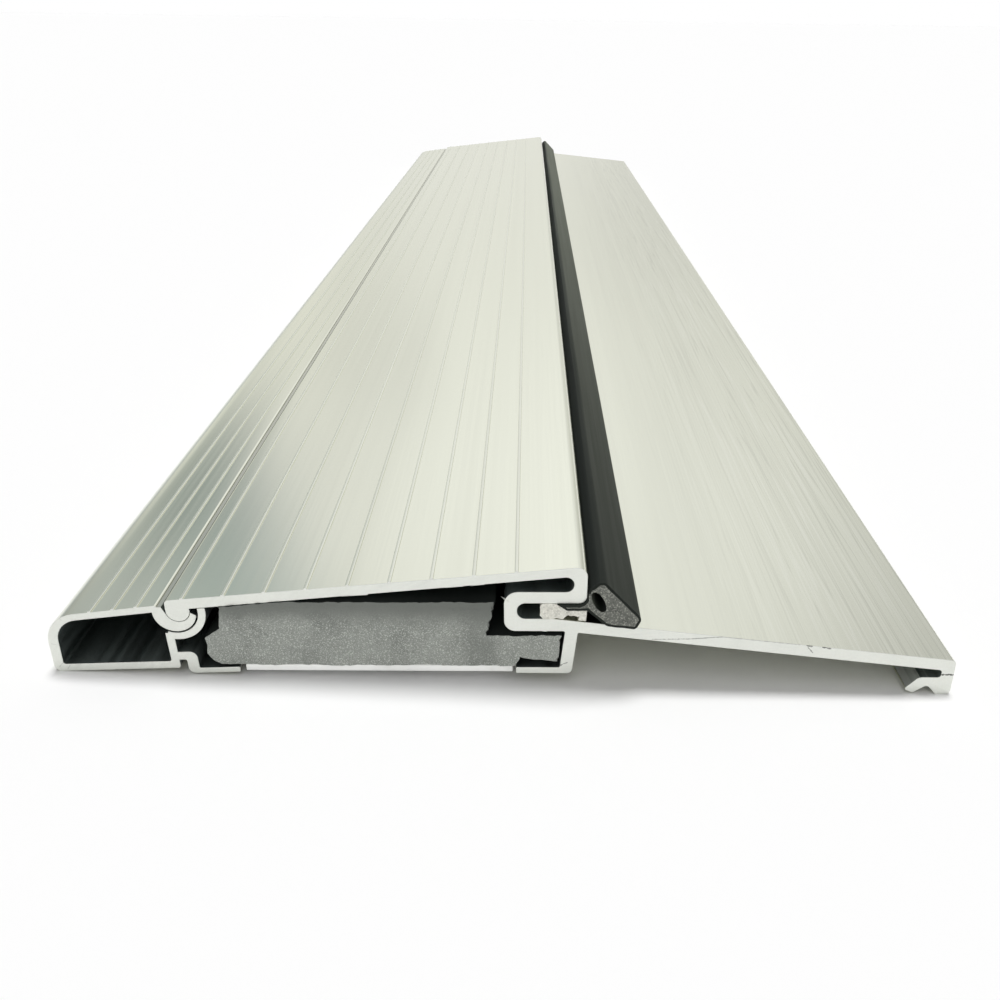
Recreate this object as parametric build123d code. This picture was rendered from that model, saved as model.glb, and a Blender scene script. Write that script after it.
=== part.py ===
from build123d import *

import os
from math import asin, atan2, cos, degrees, hypot, radians, sin, tan

# Adjustable door threshold, as one sawn length. Two aluminium extrusions meet in a rolling joint:
# the saddle's tread ends in a bead, and the nose carries a hook that turns on that bead. The saddle
# also holds the weather seal, and a block and a base strip fill the hollow under its tread.
# Sections are drawn across the door opening in millimetres, with X towards the outside and Z up,
# from the outer corner of the saddle's foot on its base plane. The nose has a section of its own,
# drawn level about the hinge axis.

# Length of the threshold along the door opening
length = 600.0

# Hinge axis, from the outer corner of the saddle's foot and under the tread's upper face
pivot_x = -61.5
pivot_drop = 2.03
bead_radius = 1.9
hinge_clearance = 0.08

# Saddle: tread
tread_slope = 5.4
tread_edge_height = 19.4
tread_wall = 1.55
tread_under_slope = 5.65
tread_edge_radius = 1.6
bead_corner_radius = 0.7

# Saddle: fold that holds the seal
fold_face = 2.15
fold_wall = 2.0
fold_turn_radius = 2.2
fold_base_radius = 1.8
slot_depth = 10.75
slot_floor = 10.15
slot_height = 2.8
slot_floor_wall = 2.25
slot_lip_radius = 1.3
slot_end_flat = 0.2

# Saddle: leg and foot
leg_wall = 2.0
leg_lean = 6.4
foot_reach = 8.8
foot_wall = 1.1
foot_corner_radius = 0.9
flange_edge_radius = 0.2
inner_corner_radius = 0.3

# Saddle: apron and drip edge
apron_reach = 60.0
apron_slope = 6.7
apron_break = 5.2
apron_wall = 2.05
apron_edge_radius = 0.9
drip_drop = 3.6
drip_wall = 1.95
drip_slot = 1.35
drip_slot_radius = 0.5
drip_reach = 7.4
drip_ridge = 2.3
drip_edge_radius = 0.7
drip_ridge_radius = 0.35
drip_arch_run = 1.5
drip_arch_rise = 1.75
drip_arch_radius = 0.8
drip_tip_run = 1.5
drip_tip_rise = 0.25
drip_tip_height = 0.65
drip_tip_radius = 0.35
drip_shoulder = 5.3
drip_shoulder_radius = 1.2

# Anti-slip ribs
rib_width = 0.6
rib_height = 0.2
tread_rib_count = 9
tread_rib_pitch = 6.5
tread_rib_margin = 0.9
nose_rib_count = 3
nose_rib_pitch = 3.75
nose_rib_margin = 3.15

# Nose: shell, about the hinge axis
nose_droop = 2.2
nose_reach = 21.65
nose_front_flare = 0.33
nose_front_radius = 5.4
nose_toe_radius = 1.1
nose_wall = 1.3
nose_front_wall = 1.65
nose_top_wall = 1.17
nose_top_slope = 4.75
nose_shoulder_x = 3.35
nose_shoulder_z = 1.08
nose_shoulder_radius = 0.4
nose_corner_radius = 0.5
nose_hollow_radius = 3.9
nose_hollow_corner = 0.4
nose_back_wall = 1.32
nose_back_face = 1.38

# Nose: hook on the bead, and the cradle around the hook
hook_radius = 3.48
hook_shift_x = 0.6
hook_shift_z = 0.25
hook_start_angle = 205.0
hook_root_angle = 178.0
hook_tip_angle = -12.0
hook_mouth_x = 2.5
hook_mouth_z = 0.75
cradle_gap = 0.27
cradle_wall = 1.22
cradle_start_angle = 246.0
cradle_tip_angle = 25.0
stop_clearance = 0.08

# Nose: step foot and flange
nose_foot_drop = 11.7
nose_underside_rise = 1.08
step_top = 7.63
step_wall = 1.46
step_face = 1.62
step_radius = 1.2
step_leg_wall = 1.8
step_corner_radius = 1.1
nose_flange_reach = 8.15
nose_flange_wall = 0.93

# Weather seal: rigid foot, and soft bulb from the fold's face and the slot's floor
seal_clearance = 0.05
seal_foot_depth = 7.15
seal_lobe_length = 2.6
seal_taper = 1.5
seal_waist_top = 1.75
seal_waist_floor = 0.6
seal_heel_length = 1.25
seal_heel_lift = 0.15
seal_round = 0.25
seal_lobe_radius = 0.6
bulb_toe_x = 3.05
bulb_toe_radius = 2.0
bulb_heel_x = 7.65
bulb_heel_radius = 0.8
bulb_side_x = 8.55
bulb_side_z = 0.35
bulb_side_radius = 1.0
bulb_crown_x = 2.35
bulb_crown_z = 6.95
bulb_crown_radius = 1.2
bulb_back_x = 0.55
bulb_back_z = 5.45
bulb_back_radius = 0.6
bulb_hollow_x = 1.8
bulb_hollow_z = 3.2
bulb_hollow_long = 1.85
bulb_hollow_short = 0.85
bulb_hollow_turn = -62.0

# Filling under the tread: base strip, and block with its inner end measured from the hinge axis
strip_rise = 0.3
strip_wall = 1.1
strip_left_gap = 9.55
strip_right_gap = 0.55
core_top = 13.1
core_left_top = 6.6
core_left_waist = 6.1
core_left_bulge = 3.65
core_left_foot = 5.7
core_waist_drop = 3.25
core_bulge_drop = 4.85
core_bulge_depth = 3.1
core_chamfer_x = 1.0
core_chamfer_z = 0.7
core_fold_gap = 1.3
core_fold_lean = 1.25
core_shelf_gap = 0.8
core_leg_gap = 0.35
core_undercut_x = 0.7
core_undercut_z = 2.9
core_undercut_low = 2.2
core_undercut_run = 0.5


def tread_top(x):
    """Height of the tread's upper face above the base plane."""
    return tread_edge_height - (fold_face - x) * tan(radians(tread_slope))


pivot_z = tread_top(pivot_x) - pivot_drop


def tread_under(x):
    """Height of the tread's lower face above the base plane."""
    return tread_edge_height - tread_wall - (fold_face - x) * tan(radians(tread_under_slope))


def apron_top(x):
    """Height of the apron's upper face, which leaves the slot's floor inside the fold."""
    return slot_floor - (x - fold_face + apron_break) * tan(radians(apron_slope))


def apron_under(x):
    """Height of the apron's lower face."""
    return apron_top(x) - apron_wall / cos(radians(apron_slope))


def leg_outer(z):
    """Place of the leg's outer face at a height above the base plane."""
    return z * tan(radians(leg_lean))


def leg_inner(z):
    """Place of the leg's inner face at a height above the base plane."""
    return leg_outer(z) - leg_wall / cos(radians(leg_lean))


def nose_top(x):
    """Height of the nose's upper face above the hinge axis."""
    return nose_shoulder_z + (x + nose_shoulder_x) * tan(radians(nose_top_slope))


def rounded(*corners):
    """Face inside an outline of (x, z, corner radius)."""
    points = [(x, z) for x, z, _ in corners]
    radii = [radius for _, _, radius in corners]
    return make_face(FilletPolyline(*points, radius=radii, close=True))


def ribs(count, first, pitch, surface, slope):
    """Row of low ribs standing on a sloping face, sunk by their own height."""
    places = [first + number * pitch for number in range(count)]
    bar = Rectangle(rib_width, 2 * rib_height)
    return [Pos(x, surface(x)) * Rot(0, 0, slope) * bar for x in places]


def saddle_section():
    """Tread with its bead, fold with the seal slot, leg with its foot, apron and drip edge."""
    slot_end = fold_face - slot_depth
    slot_ceiling = slot_floor + slot_height
    slot_round = (slot_height - slot_end_flat) / 2
    fold_left = slot_end - fold_wall
    void_floor = slot_ceiling + fold_wall
    void_end = fold_face - fold_wall
    void_round = (tread_under(void_end) - void_floor - slot_end_flat) / 2
    fold_base = slot_floor - slot_floor_wall
    bead_left = pivot_x - bead_radius
    leg_root = apron_under(leg_outer(fold_base))
    drip_inner = apron_reach - drip_wall
    drip_arm_top = apron_under(drip_inner) - drip_slot
    drip_tip_left = apron_reach - drip_reach
    drip_tip_low = -drip_drop + drip_tip_rise
    arch_x = apron_reach - drip_ridge - drip_arch_run
    outline = rounded(
        (bead_left, tread_top(bead_left), bead_corner_radius),
        (fold_face, tread_top(fold_face), tread_edge_radius),
        (fold_face, slot_ceiling, slot_lip_radius),
        (slot_end, slot_ceiling, slot_round),
        (slot_end, slot_floor, slot_round),
        (fold_face - apron_break, slot_floor, 0),
        (apron_reach, apron_top(apron_reach), apron_edge_radius),
        (apron_reach, -drip_drop, drip_edge_radius),
        (apron_reach - drip_ridge, -drip_drop, drip_ridge_radius),
        (arch_x, -drip_drop + drip_arch_rise, drip_arch_radius),
        (drip_tip_left + drip_tip_run, drip_tip_low, drip_tip_radius),
        (drip_tip_left, drip_tip_low + drip_tip_height, drip_tip_radius),
        (apron_reach - drip_shoulder, drip_arm_top, drip_shoulder_radius),
        (drip_inner, drip_arm_top, drip_slot_radius),
        (drip_inner, apron_under(drip_inner), drip_slot_radius),
        (leg_outer(leg_root), leg_root, inner_corner_radius),
        (0, 0, foot_corner_radius),
        (-foot_reach, 0, flange_edge_radius),
        (-foot_reach, foot_wall, flange_edge_radius),
        (leg_inner(foot_wall), foot_wall, inner_corner_radius),
        (leg_inner(fold_base), fold_base, inner_corner_radius),
        (fold_left, fold_base, fold_base_radius),
        (fold_left, void_floor, fold_turn_radius),
        (void_end, void_floor, void_round),
        (void_end, tread_under(void_end), void_round),
        (pivot_x, tread_under(pivot_x), 0),
        (pivot_x, pivot_z, 0),
        (bead_left, pivot_z, 0),
    )
    first_rib = bead_left + tread_rib_margin + bead_radius
    row = ribs(tread_rib_count, first_rib, tread_rib_pitch, tread_top, tread_slope)
    return Sketch() + outline + Pos(pivot_x, pivot_z) * Circle(bead_radius) + row


def nose_shell():
    """Round-fronted shell of the nose, open above its back wall, with its ribs."""
    underside = nose_underside_rise - nose_foot_drop
    shoulder = -nose_shoulder_x
    back = -nose_back_face
    outer = rounded(
        (-nose_reach - nose_front_flare, underside, nose_toe_radius),
        (-nose_reach, nose_top(-nose_reach), nose_front_radius),
        (shoulder, nose_top(shoulder), nose_shoulder_radius),
        (back, nose_shoulder_z - hook_radius, 0),
        (back, underside, nose_corner_radius),
    )
    hollow_left = nose_front_wall - nose_reach
    hollow_right = back - nose_back_wall
    hollow_floor = underside + nose_wall
    top_drop = nose_top_wall / cos(radians(nose_top_slope))
    back_wall_top = -hook_shift_z - hook_radius - cradle_gap
    hollow = rounded(
        (hollow_left - nose_front_flare, hollow_floor, nose_hollow_corner),
        (hollow_left, nose_top(hollow_left) - top_drop, nose_hollow_radius),
        (0, nose_top(0) - top_drop, 0),
        (0, back_wall_top, 0),
        (hollow_right, back_wall_top, 0),
        (hollow_right, hollow_floor, nose_hollow_corner),
    )
    first_rib = shoulder - nose_rib_margin - (nose_rib_count - 1) * nose_rib_pitch
    row = ribs(nose_rib_count, first_rib, nose_rib_pitch, nose_top, nose_top_slope)
    return Sketch() + outer - hollow + row


def hook():
    """Curl that the bead turns in, thinning towards its tip, with the mouth open above."""
    centre = (-hook_shift_x, -hook_shift_z)
    inside = CenterArc(
        (0, 0), bead_radius + hinge_clearance, hook_start_angle, 360 + hook_tip_angle - hook_start_angle
    )
    outside = CenterArc(centre, hook_radius, hook_root_angle, 360 + hook_tip_angle - hook_root_angle)
    mouth = (-hook_mouth_x, hook_mouth_z)
    shoulder = (-nose_shoulder_x, hook_mouth_z)
    return make_face(
        [
            inside,
            Line(inside @ 1, outside @ 1),
            outside,
            Polyline(outside @ 0, shoulder, mouth, inside @ 0),
        ]
    )


def cradle():
    """Curl from the back wall that runs outside the hook and up to the tread."""
    centre = (-hook_shift_x, -hook_shift_z)
    inner_radius = hook_radius + cradle_gap
    sweep = 360 + cradle_tip_angle - cradle_start_angle
    inside = CenterArc(centre, inner_radius, cradle_start_angle, sweep)
    outside = CenterArc(centre, inner_radius + cradle_wall, cradle_start_angle, sweep)
    return make_face([inside, Line(inside @ 1, outside @ 1), outside, Line(outside @ 0, inside @ 0)])


def step_foot():
    """Step behind the back wall that goes down to the nose's own foot flange."""
    inside_wall = -nose_back_face - nose_back_wall / 2
    foot = -nose_foot_drop
    leg_left = step_face - step_leg_wall
    return rounded(
        (inside_wall, -step_top, 0),
        (step_face, -step_top, step_radius),
        (step_face, foot + nose_flange_wall, inner_corner_radius),
        (nose_flange_reach, foot + nose_flange_wall, flange_edge_radius),
        (nose_flange_reach, foot, flange_edge_radius),
        (leg_left, foot, step_corner_radius),
        (leg_left, -step_top - step_wall, inner_corner_radius),
        (inside_wall, -step_top - step_wall, 0),
    )


def nose_section():
    """Whole nose hanging on the bead, with the cradle's tip cut to stop under the tread."""
    level = nose_shell() + hook() + cradle() + step_foot()
    hung = Pos(pivot_x, pivot_z) * Rot(0, 0, nose_droop) * level
    stop_left = pivot_x
    stop_right = pivot_x + nose_reach
    above = nose_reach
    no_entry = make_face(
        Polyline(
            (stop_left, tread_under(stop_left) - stop_clearance),
            (stop_right, tread_under(stop_right) - stop_clearance),
            (stop_right, tread_under(stop_right) + above),
            (stop_left, tread_under(stop_left) + above),
            close=True,
        )
    )
    return hung - no_entry


def seal_foot_section():
    """Rigid foot of the seal: a lobe in the slot, a thin waist and a heel at the slot's mouth."""
    left = fold_face - seal_foot_depth
    top = slot_floor + slot_height - seal_clearance
    floor = slot_floor + seal_clearance
    lobe_end = left + seal_lobe_length
    waist = lobe_end + seal_taper
    heel = fold_face - seal_heel_length
    heel_low = apron_top(heel) + seal_heel_lift
    return rounded(
        (left, top, seal_lobe_radius),
        (lobe_end, top, seal_round),
        (waist, slot_floor + seal_waist_top, 0),
        (fold_face, slot_floor + seal_waist_top, seal_round),
        (fold_face, heel_low, seal_round),
        (heel, heel_low, seal_round),
        (heel, slot_floor + seal_waist_floor, 0),
        (waist, slot_floor + seal_waist_floor, 0),
        (waist - seal_waist_floor, floor, 0),
        (left, floor, seal_lobe_radius),
    )


def seal_bulb_section():
    """Soft bulb that leans on the apron, with a tongue in the slot over the foot's waist."""
    left = fold_face - seal_foot_depth + seal_lobe_length
    top = slot_floor + slot_height - seal_clearance
    neck = slot_floor + seal_waist_top
    toe = fold_face + bulb_toe_x
    heel = fold_face + bulb_heel_x
    wall = fold_face + seal_clearance
    lip_x = fold_face - slot_lip_radius
    lip_z = slot_floor + slot_height + slot_lip_radius
    tongue = make_face(
        Polyline(
            (left, top),
            (left + seal_taper, neck),
            (wall, neck),
            (wall, lip_z),
            (lip_x, lip_z),
            (lip_x, top),
            close=True,
        )
    )
    bulb = rounded(
        (wall, neck, 0),
        (toe, apron_top(toe) + seal_clearance, bulb_toe_radius),
        (heel, apron_top(heel) + seal_clearance, bulb_heel_radius),
        (fold_face + bulb_side_x, slot_floor + bulb_side_z, bulb_side_radius),
        (fold_face + bulb_crown_x, slot_floor + bulb_crown_z, bulb_crown_radius),
        (fold_face + bulb_back_x, slot_floor + bulb_back_z, bulb_back_radius),
        (wall, lip_z, 0),
    )
    lip = Pos(lip_x, lip_z) * Circle(slot_lip_radius + seal_clearance)
    hollow = Pos(fold_face + bulb_hollow_x, slot_floor + bulb_hollow_z) * Rot(0, 0, bulb_hollow_turn)
    return tongue - lip + bulb - hollow * Ellipse(bulb_hollow_long, bulb_hollow_short)


def strip_section():
    """Thin base strip between the two foot flanges."""
    left = pivot_x + strip_left_gap
    right = -foot_reach - strip_right_gap
    low = strip_rise
    high = strip_rise + strip_wall
    return make_face(Polyline((left, low), (right, low), (right, high), (left, high), close=True))


def core_section():
    """Filling block on the base strip, bearing on the tread at its inner end and notched for the fold."""
    floor = strip_rise + strip_wall
    bearing_end = fold_face - (tread_edge_height - tread_wall - core_top) / tan(radians(tread_under_slope))
    fold_left = fold_face - slot_depth - fold_wall
    shelf = slot_floor - slot_floor_wall - core_shelf_gap
    notch = fold_left - core_fold_gap
    foot = pivot_x + core_left_foot
    bulge = pivot_x + core_left_bulge
    bulge_top = pivot_z - core_bulge_drop
    left_top = pivot_x + core_left_top
    undercut = core_undercut_x - foot_reach
    return make_face(
        Polyline(
            (foot, floor),
            (foot - core_chamfer_x, floor + core_chamfer_z),
            (bulge, bulge_top - core_bulge_depth),
            (bulge, bulge_top),
            (pivot_x + core_left_waist, pivot_z - core_waist_drop),
            (left_top, tread_under(left_top)),
            (bearing_end, core_top),
            (notch, core_top),
            (notch - core_fold_lean, shelf),
            (leg_inner(shelf) - core_leg_gap, shelf),
            (leg_inner(core_undercut_low) - core_leg_gap, core_undercut_low),
            (undercut, core_undercut_z),
            (undercut - core_undercut_run, floor),
            close=True,
        )
    )


def nose_point(x, z):
    """Place of a point of the level nose once the nose hangs on the bead."""
    turn = radians(nose_droop)
    return pivot_x + x * cos(turn) - z * sin(turn), pivot_z + x * sin(turn) + z * cos(turn)


def lying_angle():
    """Slope of the floor line that touches the nose's toe and the drip ridge, to the base plane."""
    underside = nose_underside_rise - nose_foot_drop
    toe_angle = atan2(nose_top(-nose_reach) - underside, nose_front_flare)
    toe_centre = nose_toe_radius / tan(toe_angle / 2) - nose_front_flare - nose_reach
    nose_x, nose_z = nose_point(toe_centre, nose_toe_radius + underside)
    ridge_turn = atan2(drip_arch_rise, drip_arch_run)
    ridge_x = apron_reach - drip_ridge + drip_ridge_radius * tan(ridge_turn / 2)
    run = ridge_x - nose_x
    rise = drip_ridge_radius - drip_drop - nose_z
    return degrees(atan2(rise, run) + asin((nose_toe_radius - drip_ridge_radius) / hypot(run, rise)))


def drawn_out(section):
    """Section drawn out along the door opening, half to each side."""
    return Pos(0, -length / 2, 0) * extrude(Plane.XZ * section, amount=length, dir=(0, 1, 0))


sections = {
    "saddle_profile": saddle_section(),
    "nose_profile": nose_section(),
    "seal_foot": seal_foot_section(),
    "seal_bulb": seal_bulb_section(),
    "core_block": core_section(),
    "base_strip": strip_section(),
}

# The threshold lies on its nose and its drip edge, with the origin under the middle of its outline
lie = Rot(0, lying_angle(), 0)
lying = {name: lie * drawn_out(section) for name, section in sections.items()}
nose_box = lying["nose_profile"].bounding_box()
saddle_box = lying["saddle_profile"].bounding_box()
origin = Pos(-(nose_box.min.X + saddle_box.max.X) / 2, 0, -saddle_box.min.Z)

os.makedirs("parts", exist_ok=True)
for name, shape in lying.items():
    export_step(origin * shape, f"parts/{name}.step")

# Hinge axis, and the outer corner and slope of the base plane, in the finished part's frame
print("hinge axis at", (origin * lie * Pos(pivot_x, 0, pivot_z)).position)
print("foot corner at", (origin * lie).position, "with the base plane turned by", lying_angle())
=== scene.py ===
"""Looks of the adjustable door threshold.

The part is a sawn length of a ribbed saddle with a hinged nose and a weather seal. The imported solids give
every place and size. Each profile is a merged copy of its solid with broken saw edges, and the soft seal and
the filling are cut and torn at their sawn ends.
"""

import logging
import math
from dataclasses import dataclass
from enum import Enum
from typing import Union

import bmesh
import bpy
from mathutils import Matrix, Vector, noise
from mathutils.bvhtree import BVHTree


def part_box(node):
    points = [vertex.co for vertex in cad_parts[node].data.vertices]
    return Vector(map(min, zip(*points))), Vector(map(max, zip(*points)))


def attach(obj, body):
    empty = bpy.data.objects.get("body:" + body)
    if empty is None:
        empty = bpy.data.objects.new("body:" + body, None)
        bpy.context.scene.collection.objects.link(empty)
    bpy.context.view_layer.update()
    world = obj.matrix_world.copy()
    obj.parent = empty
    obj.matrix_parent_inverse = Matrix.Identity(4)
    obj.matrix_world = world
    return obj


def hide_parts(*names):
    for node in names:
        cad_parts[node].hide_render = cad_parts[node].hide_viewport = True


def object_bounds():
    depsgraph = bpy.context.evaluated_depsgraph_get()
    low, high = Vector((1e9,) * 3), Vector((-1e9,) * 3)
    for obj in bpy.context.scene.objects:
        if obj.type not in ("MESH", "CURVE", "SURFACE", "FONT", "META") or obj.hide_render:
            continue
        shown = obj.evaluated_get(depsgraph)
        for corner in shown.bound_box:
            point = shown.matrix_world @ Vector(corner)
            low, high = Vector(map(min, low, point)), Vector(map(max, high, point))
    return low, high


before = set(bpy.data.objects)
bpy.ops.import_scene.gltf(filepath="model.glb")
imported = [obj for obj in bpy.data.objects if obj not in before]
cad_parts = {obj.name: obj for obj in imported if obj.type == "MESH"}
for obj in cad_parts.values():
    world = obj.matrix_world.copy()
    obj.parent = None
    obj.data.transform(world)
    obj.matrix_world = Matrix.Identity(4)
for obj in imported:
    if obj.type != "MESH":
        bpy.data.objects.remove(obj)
cad_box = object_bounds()

LOG = logging.getLogger("threshold")
MM = 0.001
NOISE_SEED = 7  # without it, the vector noise follows the clock
NEAR_END = cad_box[0][1]  # place along the length of the sawn end in front

ACROSS = Vector((1, 0, 0))
ALONG = Vector((0, 1, 0))
UP = Vector((0, 0, 1))

SAME_POINT = 0.0005 * MM  # points of a solid that are nearer than this become one
SAME_PLANE = 0.2  # degrees between triangles that become one face
CUT_GAP = 1e-7  # points that are nearer than this to a cut lie on it
END_TILT = 0.9  # share of a sawn end's normal that runs along the length
END_REACH = 0.01 * MM  # points that are nearer than this to an end lie on it
RAY_LIFT = 0.02 * MM  # height above a face at which a ray starts

NOISE_SPAN = (0.3, 0.7)  # range that most of a noise lies in
BROAD_SPAN = (0.35, 0.7)  # part of that range in which broad lines fade in
AHEAD = 0.5  # place on the colour ramp of what lies straight along the length
FULL_TURN = 360.0

Span = tuple[float, float]
Colour = tuple[float, float, float]
Direction = tuple[float, float, float]
Place = tuple[float, float, float]
Socket = bpy.types.NodeSocket
Value = Union[float, tuple, Socket]


class Slot(Enum):
    """Material slots of the record."""

    ALUMINIUM = "satin_aluminium"
    RIGID_SEAL = "rigid_seal"
    SOFT_SEAL = "soft_seal"
    CORE = "core_filling"
    STRIP = "white_strip"


class Body(Enum):
    """Rigid bodies of the part."""

    SADDLE = "saddle"
    NOSE = "nose"


class NodeBench:
    """Adds and links the nodes of one tree."""

    def __init__(self, tree: bpy.types.NodeTree) -> None:
        """Keeps the tree, emptied of its default nodes."""
        self.tree = tree
        tree.nodes.clear()

    def feed(self, socket: Socket, value: Value) -> None:
        """Links a socket to another one, or sets its own value.

        Args:
            socket: The input.
            value: The output that feeds it, or a plain number, vector or colour.
        """
        if isinstance(value, bpy.types.NodeSocket):
            self.tree.links.new(value, socket)
        elif isinstance(value, tuple) and len(value) == 3 and socket.type == "RGBA":
            socket.default_value = (*value, 1.0)
        else:
            socket.default_value = value

    def node(
        self, kind: str, inputs: dict[Union[str, int], Value] | None = None, **settings: object
    ) -> bpy.types.Node:
        """Makes a node.

        Args:
            kind: The node's type, without its ShaderNode or Node prefix.
            inputs: Values or sockets for its inputs, by name or number.
            settings: The node's own properties.

        Returns:
            The new node.
        """
        prefix = "Node" if kind in ("GroupInput", "GroupOutput") else "ShaderNode"
        made = self.tree.nodes.new(prefix + kind)
        for name, value in settings.items():
            setattr(made, name, value)
        for name, value in (inputs or {}).items():
            self.feed(made.inputs[name], value)
        return made

    def math(self, operation: str, first: Value, second: Value = 0.0, clamp: bool = False) -> Socket:
        """Result of one sum on two values."""
        return self.node("Math", {0: first, 1: second}, operation=operation, use_clamp=clamp).outputs[0]

    def vector(self, operation: str, first: Value, second: Value) -> Socket:
        """Result of one sum on two vectors, as a vector."""
        return self.node("VectorMath", {0: first, 1: second}, operation=operation).outputs["Vector"]

    def measure(self, operation: str, first: Value, second: Value) -> Socket:
        """Result of one sum on two vectors, as a number."""
        return self.node("VectorMath", {0: first, 1: second}, operation=operation).outputs["Value"]

    def scaled(self, vector: Value, factor: Value) -> Socket:
        """Vector times a number."""
        return self.node("VectorMath", {0: vector, "Scale": factor}, operation="SCALE").outputs["Vector"]

    def mix(self, share: Value, first: Value, second: Value, blend: str = "MIX") -> Socket:
        """Mix of two colours, by the node's colour sockets: inputs 6 and 7, and output 2."""
        made = self.node("Mix", {0: share, 6: first, 7: second}, data_type="RGBA", blend_type=blend)
        return made.outputs[2]

    def ramp(
        self, value: Value, low: float, high: float, to_low: float = 0.0, to_high: float = 1.0
    ) -> Socket:
        """Value carried smoothly from one range to another."""
        sockets = {0: value, 1: low, 2: high, 3: to_low, 4: to_high}
        return self.node("MapRange", sockets, interpolation_type="SMOOTHSTEP").outputs[0]

    def place(self) -> Socket:
        """Place of the shaded point in the part's frame."""
        return self.node("TexCoord").outputs["Object"]

    def parts(self, vector: Value) -> bpy.types.NodeOutputs:
        """The three parts of a vector."""
        return self.node("SeparateXYZ", {0: vector}).outputs

    def noise(self, place: Value, detail: float = 3.0, roughness: float = 0.55) -> Socket:
        """Noise at unit scale over a place."""
        sockets = {"Vector": place, "Scale": 1.0, "Detail": detail, "Roughness": roughness}
        return self.node("TexNoise", sockets).outputs[0]

    def bump(self, height: Value, strength: float, depth: float) -> Socket:
        """Normal of a raised pattern."""
        return self.node("Bump", {"Strength": strength, "Distance": depth, "Height": height}).outputs[0]

    def group(self, tree: bpy.types.NodeTree, inputs: dict[str, Value]) -> bpy.types.NodeOutputs:
        """Outputs of a node group, placed with its own values."""
        return self.node("Group", inputs, node_tree=tree).outputs

    def mirror_rays(self) -> Socket:
        """Mask of the rays that metal or glass sends out."""
        path = self.node("LightPath").outputs
        return self.math("MAXIMUM", path["Is Glossy Ray"], path["Is Transmission Ray"])


def new_group(
    name: str, inputs: dict[str, Value], outputs: tuple[str, ...]
) -> tuple[NodeBench, bpy.types.NodeOutputs, bpy.types.NodeInputs]:
    """Makes an empty node group.

    Args:
        name: The group's name.
        inputs: Its inputs, with their defaults: numbers or vectors.
        outputs: Its number outputs.

    Returns:
        The group's bench, the sockets that it is given and the sockets of its results.
    """
    tree = bpy.data.node_groups.new(name, "ShaderNodeTree")
    bench = NodeBench(tree)
    for label, default in inputs.items():
        kind = "NodeSocketVector" if isinstance(default, tuple) else "NodeSocketFloat"
        tree.interface.new_socket(label, in_out="INPUT", socket_type=kind).default_value = default
    for label in outputs:
        tree.interface.new_socket(label, in_out="OUTPUT", socket_type="NodeSocketFloat")
    return bench, bench.node("GroupInput").outputs, bench.node("GroupOutput").inputs


def streak_group() -> bpy.types.NodeTree:
    """Makes lines drawn along the length, as a die or a brush leaves them.

    Returns:
        The effect, with fine lines, broad lines and two kinds of scores.
    """
    broad_scale = (0.13, 0.35, 0.13)
    sparse_scale = (0.4, 1.6, 0.4)
    score_levels = {"Dark scores": 0.45, "Pale scores": 0.56}
    score_width = 0.035
    defaults = {"Across": 900.0, "Along": 4.0}
    bench, given, result = new_group("Drawn lines", defaults, ("Lines", "Broad", *score_levels))
    parts = bench.parts(bench.place())
    across = bench.math("MULTIPLY", parts[0], given["Across"])
    height = bench.math("MULTIPLY", parts[2], given["Across"])
    along = bench.math("MULTIPLY", parts[1], given["Along"])
    fine = bench.node("CombineXYZ", {0: across, 1: along, 2: height}).outputs[0]
    bench.feed(result["Lines"], bench.noise(fine, detail=4.0, roughness=0.65))
    bench.feed(result["Broad"], bench.noise(bench.vector("MULTIPLY", fine, broad_scale), detail=2.0))
    scored = bench.noise(bench.vector("MULTIPLY", fine, sparse_scale), detail=1.5)
    for name, level in score_levels.items():
        apart = bench.math("ABSOLUTE", bench.math("SUBTRACT", scored, level))
        bench.feed(result[name], bench.ramp(apart, 0.0, score_width, 1.0, 0.0))
    return bench.tree


def speckle_group() -> bpy.types.NodeTree:
    """Makes the light and dark grains of a cut foam or a crumbly plastic.

    Returns:
        The effect, with grains, pits and patches.
    """
    pit_scale = 0.6
    pit_span = (0.05, 0.35)
    defaults = {"Grain": 2500.0, "Patch": 250.0}
    bench, given, result = new_group("Cut grain", defaults, ("Grains", "Pits", "Patches"))
    place = bench.place()
    grain = bench.scaled(place, given["Grain"])
    patch = bench.scaled(place, given["Patch"])
    cells = bench.node("TexVoronoi", {"Vector": grain, "Scale": pit_scale}, feature="F1").outputs["Distance"]
    bench.feed(result["Grains"], bench.noise(grain, detail=3.0, roughness=0.7))
    bench.feed(result["Pits"], bench.ramp(cells, *pit_span, 1.0, 0.0))
    bench.feed(result["Patches"], bench.noise(patch, detail=3.0))
    return bench.tree


def mark_and_shade_group() -> bpy.types.NodeTree:
    """Makes an uneven dark mark along a straight run between two points: thin for a scratch, broad for a
    darker band.

    Returns:
        The effect, with the mark as a mask.
    """
    grain = 2600.0
    uneven_span = (0.4, 1.6)
    edge_span = (0.2, 0.6)
    defaults = {"From": (0.0, 0.0, 0.0), "To": (0.0, 0.0, 0.0), "Width": 0.0}
    bench, given, result = new_group("ScratchAndShade", defaults, ("Mark",))
    place = bench.place()
    run = bench.vector("SUBTRACT", given["To"], given["From"])
    away = bench.vector("SUBTRACT", place, given["From"])
    along = bench.measure("DOT_PRODUCT", away, run)
    whole = bench.measure("DOT_PRODUCT", run, run)
    share = bench.math("DIVIDE", along, whole, clamp=True)
    apart = bench.measure("DISTANCE", away, bench.scaled(run, share))
    uneven = bench.ramp(bench.noise(bench.scaled(place, grain)), *NOISE_SPAN, *uneven_span)
    level = bench.math("DIVIDE", apart, bench.math("MULTIPLY", given["Width"], uneven))
    bench.feed(result["Mark"], bench.ramp(level, *edge_span, 1.0, 0.0))
    return bench.tree


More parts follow.
